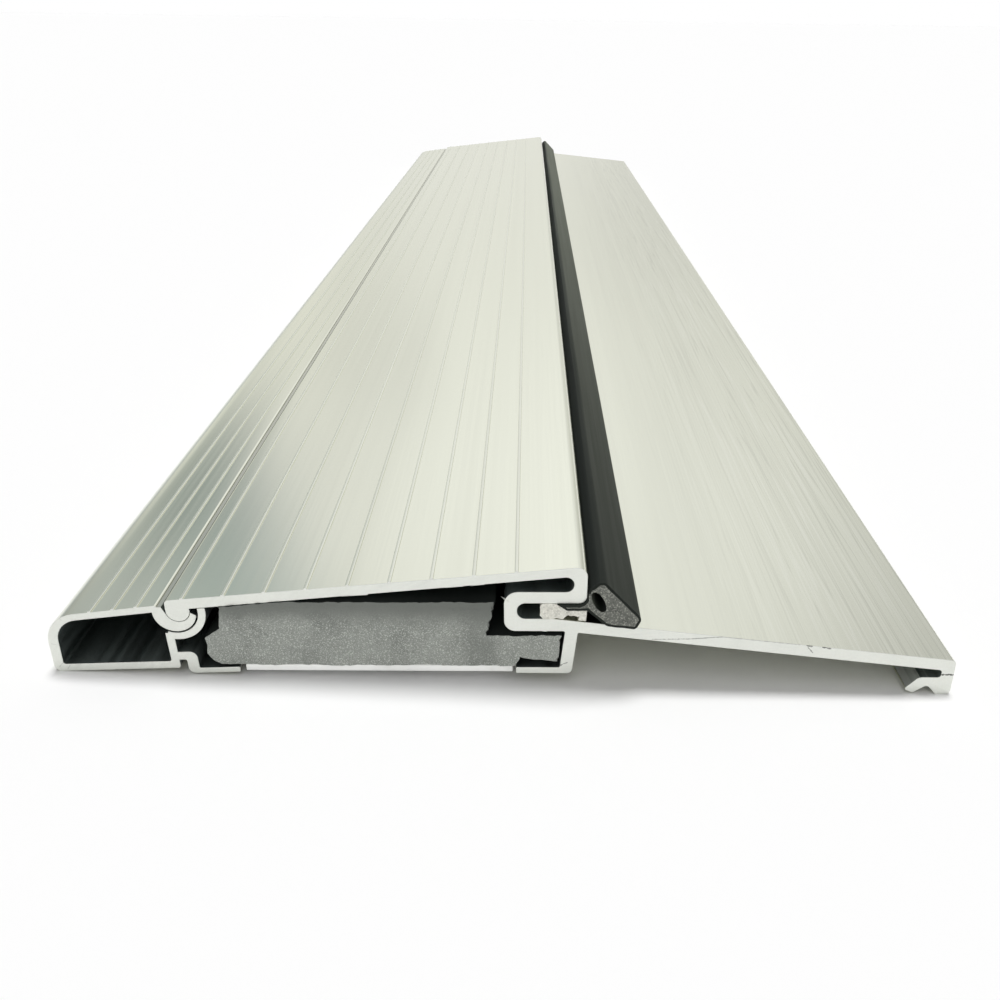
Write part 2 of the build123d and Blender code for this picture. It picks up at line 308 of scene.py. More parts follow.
@dataclass(frozen=True)
class Effects:
    """Node groups that the finishes share."""

    lines: bpy.types.NodeTree
    speckle: bpy.types.NodeTree
    scratch_and_shade: bpy.types.NodeTree


def new_material(name: str) -> tuple[bpy.types.Material, NodeBench, bpy.types.NodeInputs]:
    """Makes a material with its shader.

    Args:
        name: The finish's name.

    Returns:
        The material, its bench and the sockets of its Principled shader.
    """
    made = bpy.data.materials.new(name)
    made.use_nodes = True
    bench = NodeBench(made.node_tree)
    shader = bench.node("BsdfPrincipled")
    bench.node("OutputMaterial", {"Surface": shader.outputs[0]})
    return made, bench, shader.inputs


@dataclass(frozen=True)
class ScratchAndShade:
    """Dark mark on the near sawn end, in millimetres across the opening and above the floor: thin for a
    scratch, broad for a darker band.
    """

    start: tuple[float, float]
    stop: tuple[float, float]
    width: float = 0.14
    depth: float = 0.6

    def ends(self) -> tuple[Vector, Vector]:
        """Both ends of the mark in the part's frame."""
        return tuple(Vector((x * MM, NEAR_END, z * MM)) for x, z in (self.start, self.stop))


def marked(
    bench: NodeBench, scratch_and_shade: bpy.types.NodeTree, marks: tuple[ScratchAndShade, ...], tint: Socket, mark_tint: Colour
) -> Socket:
    """Lays dark marks, among them broad bands of painted shade, over a tint.

    Args:
        bench: The material's bench.
        scratch_and_shade: The effect that draws the marks.
        marks: The marks.
        tint: The clean tint.
        mark_tint: The marks' own tint.

    Returns:
        The marked tint.
    """
    for mark in marks:
        start, stop = mark.ends()
        drawn = bench.group(scratch_and_shade, {"From": start, "To": stop, "Width": mark.width * MM})["Mark"]
        tint = bench.mix(bench.math("MULTIPLY", drawn, mark.depth), tint, mark_tint)
    return tint


@dataclass(frozen=True)
class AluminiumFinish:
    """Satin skin of an extrusion, with lines along its length and scores that grow towards the drip edge."""

    name: str = "Satin aluminium"
    tint: Colour = (0.845, 0.862, 0.745)
    shade: Colour = (0.82, 0.836, 0.722)
    scored: Colour = (0.73, 0.745, 0.645)
    bright: Colour = (0.89, 0.905, 0.80)
    roughness: float = 0.14
    roughness_swing: float = 0.07
    line_depth: float = 0.004 * MM
    line_strength: float = 0.3
    across: float = 2200.0
    along: float = 5.0
    worn_from: float = 26 * MM
    worn_to: float = 65 * MM
    least_wear: float = 0.08

    def material(self, effects: Effects) -> bpy.types.Material:
        """Makes the material.

        Args:
            effects: The shared node groups.

        Returns:
            The material.
        """
        made, bench, shader = new_material(self.name)
        drawn = bench.group(effects.lines, {"Across": self.across, "Along": self.along})
        wear = bench.ramp(bench.parts(bench.place())[0], self.worn_from, self.worn_to, self.least_wear, 1.0)
        tint = bench.mix(bench.ramp(drawn["Broad"], *BROAD_SPAN), self.tint, self.shade)
        tint = bench.mix(bench.math("MULTIPLY", drawn["Dark scores"], wear), tint, self.scored)
        tint = bench.mix(bench.math("MULTIPLY", drawn["Pale scores"], wear), tint, self.bright)
        bench.feed(shader["Base Color"], tint)
        roughest = self.roughness + self.roughness_swing
        bench.feed(shader["Roughness"], bench.ramp(drawn["Lines"], *NOISE_SPAN, self.roughness, roughest))
        shader["Metallic"].default_value = 1.0
        bench.feed(shader["Normal"], bench.bump(drawn["Lines"], self.line_strength, self.line_depth))
        return made


@dataclass(frozen=True)
class SawnFinish:
    """Bright matt face that the saw leaves on an extrusion, with the blade's arcs and a few dark marks."""

    name: str = "Sawn aluminium"
    tint: Colour = (0.835, 0.85, 0.80)
    shade: Colour = (0.78, 0.795, 0.75)
    mark_tint: Colour = (0.10, 0.10, 0.095)
    roughness: Span = (0.5, 0.65)
    grain: float = 3000.0
    grain_depth: float = 0.03 * MM
    grain_strength: float = 0.12
    patch: float = 120.0
    patch_span: Span = (0.35, 0.75)
    blade_centre: tuple[float, float] = (33 * MM, -65 * MM)
    blade_pitch: float = 1100.0
    blade_span: Span = (0.3, 0.65)
    marks: tuple[ScratchAndShade, ...] = (
        ScratchAndShade((23.8, 8.95), (29.7, 9.2)),
        ScratchAndShade((29.7, 9.2), (34.6, 9.72), 0.16),
        ScratchAndShade((34.6, 9.72), (46.8, 8.62), 0.1, 0.45),
        ScratchAndShade((47.9, 8.5), (48.7, 8.42), 0.3, 0.8),
        ScratchAndShade((50.4, 8.3), (51.6, 8.1), 0.26, 0.8),
        ScratchAndShade((48.1, 8.2), (49.0, 7.2), 0.16, 0.7),
        ScratchAndShade((69.7, 3.72), (71.5, 3.78), 0.3, 0.95),
        ScratchAndShade((9.2, 3.45), (10.8, 4.2), 0.2, 0.6),
        ScratchAndShade((8.4, 3.3), (9.9, 3.6), 0.2, 0.5),
        ScratchAndShade((-70.6, 0.9), (-69.8, 1.8), 0.2, 0.2),
        ScratchAndShade((-69.4, 0.4), (-68.9, 1.2), 0.2, 0.2),
        ScratchAndShade((-71.2, 5.2), (-70.5, 5.1), 0.2, 0.12),
        ScratchAndShade((-69.3, 10.2), (-68.8, 9.7), 0.2, 0.12),
    )

    def material(self, effects: Effects) -> bpy.types.Material:
        """Makes the material.

        Args:
            effects: The shared node groups.

        Returns:
            The material.
        """
        made, bench, shader = new_material(self.name)
        cut = bench.group(effects.speckle, {"Grain": self.grain, "Patch": self.patch})
        arcs = self.arcs(bench)
        patches = bench.ramp(cut["Patches"], *self.patch_span)
        shade = bench.math("MULTIPLY", patches, bench.ramp(arcs, *self.blade_span))
        tint = bench.mix(shade, self.tint, self.shade)
        bench.feed(shader["Base Color"], marked(bench, effects.scratch_and_shade, self.marks, tint, self.mark_tint))
        bench.feed(shader["Roughness"], bench.ramp(cut["Grains"], *NOISE_SPAN, *self.roughness))
        shader["Metallic"].default_value = 1.0
        raised = bench.math("ADD", cut["Grains"], arcs)
        bench.feed(shader["Normal"], bench.bump(raised, self.grain_strength, self.grain_depth))
        return made

    def arcs(self, bench: NodeBench) -> Socket:
        """Draws faint arcs about the saw blade's centre.

        Args:
            bench: The material's bench.

        Returns:
            The arcs' pattern.
        """
        parts = bench.parts(bench.place())
        beside = bench.math("SUBTRACT", parts[0], self.blade_centre[0])
        above = bench.math("SUBTRACT", parts[2], self.blade_centre[1])
        flat = bench.node("CombineXYZ", {0: beside, 1: above}).outputs[0]
        radius = bench.node("VectorMath", {0: flat}, operation="LENGTH").outputs["Value"]
        rings = bench.node("CombineXYZ", {0: bench.math("MULTIPLY", radius, self.blade_pitch)}).outputs[0]
        return bench.noise(rings, detail=2.0)


@dataclass(frozen=True)
class FoamFinish:
    """Cut face of a foam or a crumbly plastic, with grains, pits, soft patches and darkening towards the top.

    The darkening starts above the whole part, so that there is none, unless it is set lower.
    """

    name: str
    tint: Colour
    light: Colour
    dark: Colour
    grain: float
    patch: float
    pit_share: float = 0.6
    top_dark_from: float = 1.0
    top_dark_to: float = 2.0
    top_dark_depth: float = 0.5
    marks: tuple[ScratchAndShade, ...] = ()
    patch_span: Span = (0.1, 0.6)
    grain_span: Span = (0.48, 0.68)
    grain_depth: float = 0.12 * MM
    grain_strength: float = 0.6
    roughness: Span = (0.75, 0.95)

    def material(self, effects: Effects) -> bpy.types.Material:
        """Makes the material.

        Args:
            effects: The shared node groups.

        Returns:
            The material.
        """
        made, bench, shader = new_material(self.name)
        cut = bench.group(effects.speckle, {"Grain": self.grain, "Patch": self.patch})
        height = bench.parts(bench.place())[2]
        # darker towards the top, with no pale grains there
        top_dark = bench.ramp(height, self.top_dark_from, self.top_dark_to, 0.0, self.top_dark_depth)
        below = bench.math("SUBTRACT", 1.0, top_dark)
        tint = bench.mix(bench.ramp(cut["Patches"], *self.patch_span), self.dark, self.tint)
        grains = bench.math("MULTIPLY", bench.ramp(cut["Grains"], *self.grain_span), below)
        tint = bench.mix(grains, tint, self.light)
        tint = bench.mix(bench.math("MULTIPLY", cut["Pits"], self.pit_share), tint, self.dark)
        tint = bench.mix(top_dark, tint, self.dark)
        bench.feed(shader["Base Color"], marked(bench, effects.scratch_and_shade, self.marks, tint, self.dark))
        bench.feed(shader["Roughness"], bench.ramp(cut["Grains"], *NOISE_SPAN, *self.roughness))
        bench.feed(shader["Normal"], bench.bump(cut["Grains"], self.grain_strength, self.grain_depth))
        return made


@dataclass(frozen=True)
class SkinFinish:
    """Dark film around the soft seal, with faint lines along it and a sheen that shows at a low angle."""

    name: str = "Seal film"
    tint: Colour = (0.006, 0.0085, 0.006)
    pale: Colour = (0.012, 0.015, 0.012)
    roughness: float = 0.58
    roughness_swing: float = 0.12
    gloss: float = 0.2
    sheen: float = 0.4
    sheen_spread: float = 0.22
    sheen_tint: Colour = (0.93, 1.0, 0.82)
    across: float = 500.0
    along: float = 9.0
    line_depth: float = 0.05 * MM
    line_strength: float = 0.3

    def material(self, effects: Effects) -> bpy.types.Material:
        """Makes the material.

        Args:
            effects: The shared node groups.

        Returns:
            The material.
        """
        made, bench, shader = new_material(self.name)
        drawn = bench.group(effects.lines, {"Across": self.across, "Along": self.along})
        tint = bench.mix(bench.ramp(drawn["Broad"], *BROAD_SPAN), self.tint, self.pale)
        bench.feed(shader["Base Color"], tint)
        roughest = self.roughness + self.roughness_swing
        bench.feed(shader["Roughness"], bench.ramp(drawn["Lines"], *NOISE_SPAN, self.roughness, roughest))
        shader["Specular IOR Level"].default_value = self.gloss
        shader["Sheen Weight"].default_value = self.sheen
        shader["Sheen Roughness"].default_value = self.sheen_spread
        shader["Sheen Tint"].default_value = (*self.sheen_tint, 1.0)
        bench.feed(shader["Normal"], bench.bump(drawn["Lines"], self.line_strength, self.line_depth))
        return made


@dataclass(frozen=True)
class StripFinish:
    """White plastic of the base strip, a little soiled."""

    name: str = "White strip"
    tint: Colour = (0.82, 0.825, 0.80)
    soiled: Colour = (0.69, 0.695, 0.67)
    soiled_span: Span = (0.5, 0.8)
    grain: float = 1500.0
    patch: float = 180.0
    roughness: Span = (0.5, 0.7)

    def material(self, effects: Effects) -> bpy.types.Material:
        """Makes the material.

        Args:
            effects: The shared node groups.

        Returns:
            The material.
        """
        made, bench, shader = new_material(self.name)
        cut = bench.group(effects.speckle, {"Grain": self.grain, "Patch": self.patch})
        soiled = bench.ramp(cut["Patches"], *self.soiled_span)
        bench.feed(shader["Base Color"], bench.mix(soiled, self.tint, self.soiled))
        bench.feed(shader["Roughness"], bench.ramp(cut["Grains"], *NOISE_SPAN, *self.roughness))
        return made


# painted shade: a darker aluminium for faces deep in a hollow
HOLLOW_SHADE_FINISH = AluminiumFinish(
    name="Painted hollow shade aluminium",
    tint=(0.28, 0.32, 0.31),
    shade=(0.20, 0.23, 0.225),
    scored=(0.15, 0.17, 0.17),
    bright=(0.34, 0.38, 0.37),
    roughness=0.45,
    roughness_swing=0.2,
    across=700.0,
)
RIB_FINISH = AluminiumFinish(
    name="Worn rib tops",
    tint=(0.87, 0.885, 0.79),
    shade=(0.83, 0.845, 0.75),
    roughness=0.32,
    roughness_swing=0.04,
    line_depth=0.001 * MM,
)
GROOVE_FINISH = AluminiumFinish(
    name="Shaded groove aluminium",
    tint=(0.62, 0.625, 0.55),
    shade=(0.57, 0.575, 0.51),
    scored=(0.50, 0.505, 0.45),
    bright=(0.66, 0.665, 0.59),
    roughness=0.3,
)
# painted shade: a darker aluminium for faces with little open around them
SHELTER_SHADE_FINISH = AluminiumFinish(
    name="Painted shelter shade aluminium",
    tint=(0.53, 0.55, 0.535),
    shade=(0.48, 0.50, 0.485),
    scored=(0.42, 0.44, 0.43),
    bright=(0.56, 0.58, 0.565),
    roughness=0.62,
    across=900.0,
)
# also painted shade on the seal film's side turned to the fold, which it gives no sheen
FILLING_SKIN_AND_FILM_SHADE_FINISH = SkinFinish(
    name="Filling skin and painted film shade",
    tint=(0.008, 0.010, 0.009),
    pale=(0.016, 0.019, 0.017),
    roughness=0.75,
    sheen=0.02,
    across=300.0,
)
SPONGE_FINISH = FoamFinish(
    name="Seal sponge",
    tint=(0.115, 0.12, 0.105),
    light=(0.33, 0.335, 0.295),
    dark=(0.04, 0.043, 0.038),
    grain=3400.0,
    patch=500.0,
)
FOOT_FINISH = FoamFinish(
    name="Seal foot plastic",
    tint=(0.66, 0.65, 0.58),
    light=(0.80, 0.79, 0.72),
    dark=(0.32, 0.32, 0.28),
    grain=2600.0,
    patch=700.0,
    pit_share=0.5,
)
FILLING_FINISH = FoamFinish(
    name="Filling foam",
    tint=(0.25, 0.264, 0.24),
    light=(0.50, 0.52, 0.48),
    dark=(0.125, 0.134, 0.121),
    grain=4800.0,
    patch=160.0,
    pit_share=0.5,
    top_dark_from=9.5 * MM,
    top_dark_to=14.0 * MM,
    top_dark_depth=0.85,
    marks=(
        ScratchAndShade((-7.6, 13.6), (-3.0, 13.55), 0.6, 0.5),
        ScratchAndShade((-15.0, 5.55), (-12.2, 5.2), 0.5, 0.4),
        # painted shade: a broad dark band on the right of the filling, where the seal's fold shades it
        ScratchAndShade((-2.5, 13.0), (-3.0, 6.0), 7.0, 0.45),
        # a broad darker band at the upper left of the filling
        ScratchAndShade((-42.5, 13.0), (-36.0, 13.3), 5.0, 0.3),
    ),
)


class Finishes:
    """All the materials of the threshold, made once."""

    def __init__(self) -> None:
        """Makes the shared effects and the materials."""
        effects = Effects(streak_group(), speckle_group(), mark_and_shade_group())
        self.satin = AluminiumFinish().material(effects)
        self.sawn = SawnFinish().material(effects)
        # the inner, groove and sheltered finishes are painted shade
        self.inner = HOLLOW_SHADE_FINISH.material(effects)
        self.rib = RIB_FINISH.material(effects)
        self.groove = GROOVE_FINISH.material(effects)
        self.sheltered = SHELTER_SHADE_FINISH.material(effects)
        self.film = SkinFinish().material(effects)
        self.skin = FILLING_SKIN_AND_FILM_SHADE_FINISH.material(effects)
        self.sponge = SPONGE_FINISH.material(effects)
        self.rigid = FOOT_FINISH.material(effects)
        self.core = FILLING_FINISH.material(effects)
        self.strip = StripFinish().material(effects)


def merged_copy(node: str) -> bmesh.types.BMesh:
    """Copies a solid's mesh with its triangles joined into whole faces.

    Args:
        node: The solid's name.

    Returns:
        The merged mesh.
    """
    bm = bmesh.new()
    bm.from_mesh(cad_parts[node].data)
    bmesh.ops.remove_doubles(bm, verts=bm.verts, dist=SAME_POINT)
    bmesh.ops.dissolve_limit(bm, angle_limit=math.radians(SAME_PLANE), verts=bm.verts, edges=bm.edges)
    return bm


def all_walls() -> BVHTree:
    """Gathers the faces of all the solids.

    Returns:
        The search tree over them.
    """
    bm = bmesh.new()
    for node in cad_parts.values():
        bm.from_mesh(node.data)
    tree = BVHTree.FromBMesh(bm)
    bm.free()
    return tree


def is_end(face: bmesh.types.BMFace) -> bool:
    """Whether a face is one of the sawn ends."""
    return abs(face.normal.y) > END_TILT


def end_edges(bm: bmesh.types.BMesh) -> list[bmesh.types.BMEdge]:
    """Edges between the sawn ends and the long sides."""
    joins = [edge for edge in bm.edges if len(edge.link_faces) == 2]
    return [edge for edge in joins if is_end(edge.link_faces[0]) != is_end(edge.link_faces[1])]


def break_edges(
    bm: bmesh.types.BMesh, edges: list[bmesh.types.BMEdge], width: float, segments: int = 1
) -> None:
    """Breaks sharp edges by a small bevel.

    Args:
        bm: The mesh.
        edges: Its edges to break.
        width: The bevel's width on each face.
        segments: How many facets it has.
    """
    bmesh.ops.bevel(
        bm,
        geom=edges,
        offset=width,
        offset_type="OFFSET",
        affect="EDGES",
        segments=segments,
        profile=0.5,
        material=-1,
        clamp_overlap=True,
    )


def steps(low: float, high: float, pitch: float) -> list[float]:
    """Even places strictly between two limits, about a pitch apart."""
    count = max(2, round((high - low) / pitch))
    return [low + (high - low) * number / count for number in range(1, count)]


def slice_across(bm: bmesh.types.BMesh, normal: Vector, places: list[float]) -> None:
    """Cuts the whole mesh by a row of parallel planes, leaving it joined.

    Args:
        bm: The mesh.
        normal: The planes' normal.
        places: Where each plane lies along that normal.
    """
    for place in places:
        geometry = [*bm.verts, *bm.edges, *bm.faces]
        bmesh.ops.bisect_plane(bm, geom=geometry, dist=CUT_GAP, plane_co=normal * place, plane_no=normal)


def slice_section(bm: bmesh.types.BMesh, low: Vector, high: Vector, cell: float) -> None:
    """Cuts a piece into cells over its section, so that its ends can be torn."""
    slice_across(bm, ACROSS, steps(low.x, high.x, cell))
    slice_across(bm, UP, steps(low.z, high.z, cell))


def finished_piece(
    bm: bmesh.types.BMesh,
    name: str,
    materials: list[bpy.types.Material],
    body: Body,
    node: str,
    crease: float = 32.0,
) -> bpy.types.Object:
    """Turns a mesh into a piece of the threshold.

    Args:
        bm: The mesh in the part's frame, freed afterwards.
        name: The piece's name.
        materials: Its materials, by face index.
        body: The body that it moves with.
        node: The solid that it stands for.
        crease: Edges sharper than this many degrees stay crisp.

    Returns:
        The piece's object.
    """
    for face in bm.faces:
        face.smooth = True
    for edge in bm.edges:
        edge.smooth = edge.calc_face_angle(0.0) < math.radians(crease)
    mesh = bpy.data.meshes.new(name)
    bm.to_mesh(mesh)
    bm.free()
    if "custom_normal" in mesh.attributes:  # the solid's own normals don't fit the new shape
        mesh.attributes.remove(mesh.attributes["custom_normal"])
    for material in materials:
        mesh.materials.append(material)
    piece = bpy.data.objects.new(name, mesh)
    bpy.context.scene.collection.objects.link(piece)
    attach(piece, body.value)
    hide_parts(node)
    return piece


class Skin(Enum):
    """Skins of a profile, as the numbers of its materials."""

    SATIN = 0
    SAWN = 1
    SHADED_HOLLOW = 2
    RIB = 3
    GROOVE = 4
    SHADED_SHELTER = 5


@dataclass(frozen=True)
class Burr:
    """Sliver of metal that the saw has left on an edge of the near end, in millimetres.

    Its two radii are shares of its thickness and its depth.
    """

    root: tuple[float, float]
    tip: tuple[float, float]
    thick: float
    deep: float = 0.35
    sunk: float = 0.07
    corners: int = 6
    root_radius: float = 0.5
    tip_radius: float = 0.03

    def raise_on(self, bm: bmesh.types.BMesh) -> None:
        """Adds the sliver as a flat cone from its root to its tip.

        Args:
            bm: The profile's mesh.
        """
        middle = NEAR_END + (self.sunk + self.deep / 2) * MM
        root, tip = (Vector((x * MM, middle, z * MM)) for x, z in (self.root, self.tip))
        run = tip - root
        turn = run.to_track_quat("Z", "Y").to_matrix().to_4x4()
        flat = Matrix.Diagonal((self.thick * MM, self.deep * MM, 1.0, 1.0))
        made = bmesh.ops.create_cone(
            bm,
            cap_ends=True,
            segments=self.corners,
            radius1=self.root_radius,
            radius2=self.tip_radius,
            depth=run.length,
            matrix=Matrix.Translation(root + run / 2) @ turn @ flat,
        )
        for face in {face for vert in made["verts"] for face in vert.link_faces}:
            face.material_index = Skin.SAWN.value


@dataclass
class Extrusion:
    """One aluminium profile: its solid with rounded ribs and broken saw edges.

    A face is told by looks out of it in the section, look_pitch degrees apart. Within inner_reach, an inner
    wall has fewer free looks than inner_openings, and a sheltered one has just as many: both get painted
    shade. In a groove, at least groove_walls looks end within groove_reach, and it gets painted shade too.
    """

    node: str
    body: Body
    saw_break: float = 0.06 * MM
    rib_round: float = 0.12 * MM
    rib_segments: int = 3
    rib_side: float = 0.26 * MM
    rib_reach: float = 0.45 * MM
    rib_angle: float = 60.0
    rib_run: float = 0.99
    rib_level: float = 0.95
    crest_level: float = 0.9
    inner_reach: float = 30 * MM
    inner_openings: int = 2
    groove_reach: float = 1.3 * MM
    groove_walls: int = 7
    sawn_tilt: float = 0.5
    look_pitch: float = 30.0
    burrs: tuple[Burr, ...] = ()

    def build(self, finishes: Finishes, walls: BVHTree) -> bpy.types.Object:
        """Makes the profile and dresses its skin, its sawn ends, and its inner walls with painted shade.

        Args:
            finishes: The materials.
            walls: All the solids, to tell inner walls by.

        Returns:
            The finished profile.
        """
        bm = merged_copy(self.node)
        edges = self.rib_edges(bm)
        crests = [(edge.verts[0].co + edge.verts[1].co) / 2 for edge in edges]
        break_edges(bm, edges, self.rib_round, self.rib_segments)
        break_edges(bm, end_edges(bm), self.saw_break)
        bm.normal_update()
        for face in bm.faces:
            face.material_index = self.skin(face, walls, crests).value
        for burr in self.burrs:
            burr.raise_on(bm)
        # the inner, groove and sheltered finishes paint shade into hollows and grooves
        metals = [finishes.satin, finishes.sawn, finishes.inner]
        metals += [finishes.rib, finishes.groove, finishes.sheltered]
        return finished_piece(bm, f"{self.node}_finished", metals, self.body, self.node)

    def rib_edges(self, bm: bmesh.types.BMesh) -> list[bmesh.types.BMEdge]:
        """Finds the upper edges of the ribs by the low faces beside them.

        Args:
            bm: The profile's mesh.

        Returns:
            The edges.
        """
        found = []
        for edge in bm.edges:
            if len(edge.link_faces) != 2 or edge.calc_face_angle_signed(0.0) < math.radians(self.rib_angle):
                continue
            along = abs((edge.verts[1].co - edge.verts[0].co).normalized().y) > self.rib_run
            widths = [face.calc_area() / max(edge.calc_length(), MM) for face in edge.link_faces]
            level = max(face.normal.z for face in edge.link_faces)
            if along and min(widths) < self.rib_side and level > self.rib_level:
                found.append(edge)
        return found

    def skin(self, face: bmesh.types.BMFace, walls: BVHTree, crests: list[Vector]) -> Skin:
        """Tells which skin a face has.

        Args:
            face: The face.
            walls: All the solids.
            crests: Middles of the ribs' upper edges.

        Returns:
            Sawn on the ends, worn on the ribs' tops, painted shade in a hollow, where little is open around
            it and in a narrow groove, and satin elsewhere.
        """
        if abs(face.normal.y) > self.sawn_tilt:
            return Skin.SAWN
        middle = face.calc_center_median()
        if any((middle - crest).length < self.rib_reach for crest in crests):
            return Skin.RIB if face.normal.z > self.crest_level else Skin.SATIN
        start = middle + face.normal * RAY_LIFT
        turns = steps(0.0, math.tau, math.radians(self.look_pitch))
        looks = [Vector((math.cos(turn), 0.0, math.sin(turn))) for turn in turns]
        gaps = [walls.ray_cast(start, look, self.inner_reach)[3] for look in looks]
        openings = gaps.count(None)
        # painted shade where few looks from the face are open
        if openings < self.inner_openings:
            return Skin.SHADED_HOLLOW
        if openings == self.inner_openings:
            return Skin.SHADED_SHELTER
        close = [gap for gap in gaps if gap is not None and gap < self.groove_reach]
        return Skin.GROOVE if len(close) >= self.groove_walls else Skin.SATIN


class BulbSkin(Enum):
    """Skins of the seal's bulb, as the numbers of its materials."""

    FILM = 0
    SPONGE = 1
    # painted shade: the side turned to the fold, without the film's sheen
    BACK = 2


@dataclass
class WeatherSeal:
    """Soft bulb in its dark film, and the rigid foot in the saddle's slot."""

    film: float = 0.4 * MM
    cell: float = 0.5 * MM
    torn_depth: float = 0.16 * MM
    torn_edge: float = 0.08 * MM
    torn_edge_side: float = 0.5
    torn_grain: float = 0.8 * MM
    lean: float = 0.6 * MM
    hollow_width: float = 5 * MM
    fold_side: float = -0.25
    foot_tail: float = 0.3 * MM
    foot_round: float = 0.45 * MM
    foot_segments: int = 3
    foot_run: float = 12 * MM
    crumbled: float = 0.22 * MM
    crumb_grain: float = 0.7 * MM
    wave: float = 0.12 * MM
    wave_length: float = 45 * MM
    wave_pitch: float = 12 * MM
    fill: float = 0.9
    crease: float = 40.0

    def build(self, finishes: Finishes) -> list[bpy.types.Object]:
        """Makes both pieces of the seal."""
        return [self.bulb(finishes), self.foot(finishes)]

    def bulb(self, finishes: Finishes) -> bpy.types.Object:
        """Makes the bulb, with a film ring and torn sponge on its cut ends.

        Args:
            finishes: The materials.

        Returns:
            The finished bulb.
        """
        bm = merged_copy("seal_bulb")
        low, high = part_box("seal_bulb")
        ends = [face for face in bm.faces if is_end(face)]
        ring = set(bmesh.ops.inset_region(bm, faces=ends, thickness=self.film, use_even_offset=True)["faces"])
        bm.normal_update()
        walls = BVHTree.FromBMesh(bm)
        for face in bm.faces:
            face.material_index = self.skin(face, ring, walls).value
        slice_section(bm, low, high, self.cell)
        slice_across(bm, ALONG, steps(low.y, high.y, self.wave_pitch))
        for vert in bm.verts:
            self.tear(vert, low, high)
        # the filling's skin is painted shade on the bulb's side turned to the fold
        skins = [finishes.film, finishes.sponge, finishes.skin]
        piece = finished_piece(
            bm, "seal_bulb_film", skins, Body.SADDLE, "seal_bulb", self.crease
        )
        return piece

    def skin(self, face: bmesh.types.BMFace, ring: set[bmesh.types.BMFace], walls: BVHTree) -> BulbSkin:
        """Tells which skin a face of the bulb has.

        Args:
            face: The face.
            ring: The faces along the outlines of the cut ends.
            walls: The bulb itself.

        Returns:
            Sponge on the cut ends within their film, the filling's skin as painted shade on the side towards
            the fold, and film elsewhere.
        """
        if not is_end(face):
            # painted shade on faces turned to the fold
            return BulbSkin.BACK if face.normal.x < self.fold_side else BulbSkin.FILM
        filmed = face in ring and not self.beside_hollow(face, walls)
        return BulbSkin.FILM if filmed else BulbSkin.SPONGE

    def beside_hollow(self, face: bmesh.types.BMFace, walls: BVHTree) -> bool:
        """Tells whether a face of the film ring lies along the bulb's hollow, where there is no film.

        Args:
            face: The face.
            walls: The bulb itself.

        Returns:
            Whether a long side next to the face looks at another one.
        """
        for edge in face.edges:
            for other in edge.link_faces:
                start = other.calc_center_median() + other.normal * RAY_LIFT
                if not is_end(other) and walls.ray_cast(start, other.normal, self.hollow_width)[0]:
                    return True
        return False

    def tear(self, vert: bmesh.types.BMVert, low: Vector, high: Vector) -> None:
        """Moves a point of the bulb: a little wave along it, rough cut ends, and a lean of the near one.

        Args:
            vert: The point.
            low: The bulb's lowest corner.
            high: The bulb's highest corner.
        """
        rise = (vert.co.z - low.z) / (high.z - low.z)
        near = vert.co.y - low.y < END_REACH
        far = high.y - vert.co.y < END_REACH
        if near or far:
            rough = noise.noise_vector(vert.co / self.torn_grain)
            inner = all(is_end(face) for face in vert.link_faces)
            vert.co.y += rough.y * (self.torn_depth if inner else self.torn_edge)
            vert.co += Vector((rough.x, 0.0, rough.z)) * self.torn_edge * self.torn_edge_side
        if near:
            vert.co.y -= self.lean * max(0.0, 1.0 - rise)
        vert.co.x += self.wave * rise * noise.noise(Vector((0.0, vert.co.y / self.wave_length, 0.0)))

    def foot(self, finishes: Finishes) -> bpy.types.Object:
        """Makes the foot, with a rounded tail and crumbly cut ends.

        Args:
            finishes: The materials.

        Returns:
            The finished foot.
        """
        bm = merged_copy("seal_foot")
        low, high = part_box("seal_foot")
        tail = [edge for edge in bm.edges if max(vert.co.x for vert in edge.verts) < low.x + self.foot_tail]
        long_edges = [edge for edge in tail if edge.calc_length() > self.foot_run]
        break_edges(bm, long_edges, self.foot_round, self.foot_segments)
        slice_section(bm, low, high, self.cell)
        slice_across(bm, ALONG, [low.y + self.cell, high.y - self.cell])
        for vert in bm.verts:
            if min(vert.co.y - low.y, high.y - vert.co.y) < END_REACH:
                vert.co += noise.noise_vector(vert.co / self.crumb_grain) * self.crumbled
        return finished_piece(
            bm, "seal_foot_cut", [finishes.rigid], Body.SADDLE, "seal_foot", self.crease
        )


class BlockSkin(Enum):
    """Skins of the filling block, as the numbers of its materials."""

    FOAM = 0
    SIDE = 1


